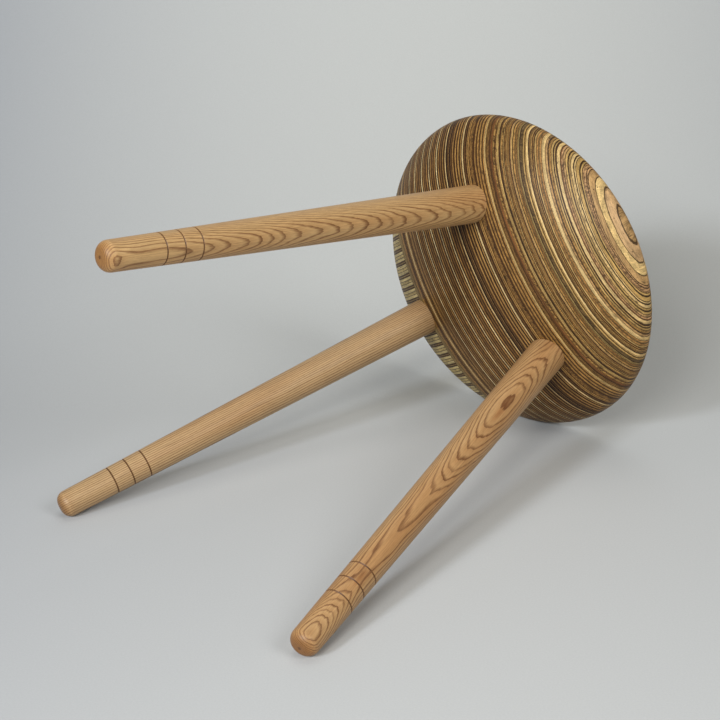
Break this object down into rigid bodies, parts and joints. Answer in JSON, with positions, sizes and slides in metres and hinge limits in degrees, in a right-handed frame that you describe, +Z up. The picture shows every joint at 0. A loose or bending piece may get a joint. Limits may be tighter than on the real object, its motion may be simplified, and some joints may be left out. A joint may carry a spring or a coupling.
{
  "type": "stool",
  "caption": "Fixed stool with a thick round seat turned from glued plywood sheets, flat on top and domed below, on splayed turned ash legs with burnt grooves near the feet.",
  "frame": {"origin": "middle of the footprint's bounding rectangle, on the plane that the feet stand on; the seat's own axis is 18.3 mm in front of it, at y = -0.0183", "axes": "+Z up; +Y towards the rear leg and the end block of cross-laid sheets; -Y towards the front edge of the seat, between the two front legs"},
  "size_m": [0.3262, 0.3366, 0.432],
  "materials": {
    "plywood": "satin oil over exposed plywood edges",
    "end_block_plywood": "satin oil over exposed plywood edges",
    "ash": "satin oil"
  },
  "bodies": {
    "root": {"end_sheet_01": "end_block_plywood", "end_sheet_02": "end_block_plywood", "end_sheet_03": "end_block_plywood", "end_sheet_04": "end_block_plywood", "end_sheet_05": "end_block_plywood", "end_sheet_06": "end_block_plywood", "end_sheet_07": "end_block_plywood", "end_sheet_08": "end_block_plywood", "end_sheet_09": "end_block_plywood", "end_sheet_10": "end_block_plywood", "end_sheet_11": "end_block_plywood", "end_sheet_12": "end_block_plywood", "end_sheet_13": "end_block_plywood", "end_sheet_14": "end_block_plywood", "end_sheet_15": "end_block_plywood", "end_sheet_16": "end_block_plywood", "end_sheet_17": "end_block_plywood", "end_sheet_18": "end_block_plywood", "end_sheet_19": "end_block_plywood", "end_sheet_20": "end_block_plywood", "end_sheet_21": "end_block_plywood", "leg_front_left": "ash", "leg_front_right": "ash", "leg_rear": "ash", "seat_board_01": "plywood", "seat_board_02": "plywood", "seat_board_03": "plywood", "seat_board_04": "plywood", "seat_board_05": "plywood", "seat_board_06": "plywood", "seat_board_07": "plywood", "seat_board_08": "plywood", "seat_board_09": "plywood", "seat_board_10": "plywood", "seat_board_11": "plywood", "seat_board_12": "plywood", "seat_board_13": "plywood", "seat_board_14": "plywood", "seat_board_15": "plywood", "seat_board_16": "plywood", "seat_board_17": "plywood", "seat_board_18": "plywood", "seat_board_19": "plywood"}
  },
  "joints": []
}
